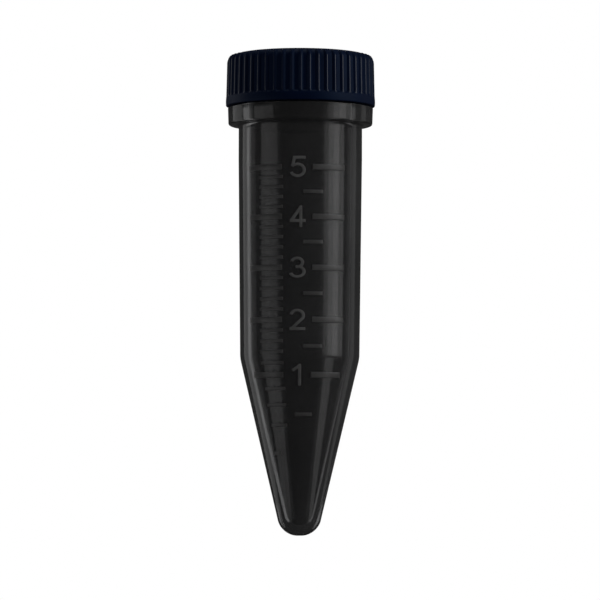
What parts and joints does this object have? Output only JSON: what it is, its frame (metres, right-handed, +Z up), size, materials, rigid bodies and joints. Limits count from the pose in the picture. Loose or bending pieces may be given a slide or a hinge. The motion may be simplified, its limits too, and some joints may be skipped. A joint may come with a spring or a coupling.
{
  "type": "microcentrifuge tube",
  "caption": "Conical-bottomed 5 ml tube with a rack collar, a raised volume scale and a ribbed screw cap on a sealing ring.",
  "frame": {"origin": "centre of the bottom of the round tip, with the tube upright", "axes": "+Z up along the tube's axis to the cap, -Y the side with the volume scale, +X to the right of someone reading the scale"},
  "size_m": [0.0202, 0.0202, 0.0653],
  "materials": {
    "tube": "gloss",
    "cap": "satin",
    "seal": "matte"
  },
  "bodies": {
    "tube": {"tube_body": "tube"},
    "seal": {"sealing_ring": "seal"},
    "cap": {"screw_cap": "cap"}
  },
  "joints": [
    {"name": "cap_rise", "type": "slide", "parent": "tube", "child": "seal", "axis": [0, 0, 1], "range_m": [0, 0.0066]},
    {"name": "cap_turn", "type": "hinge", "parent": "seal", "child": "cap", "pos_m": [0, 0, 0.0629], "axis": [0, 0, 1], "range_deg": [0, 1080]}
  ],
  "couplings": [
    {"joint": "cap_turn", "follows": "cap_rise", "rad_per_m": 2856}
  ]
}
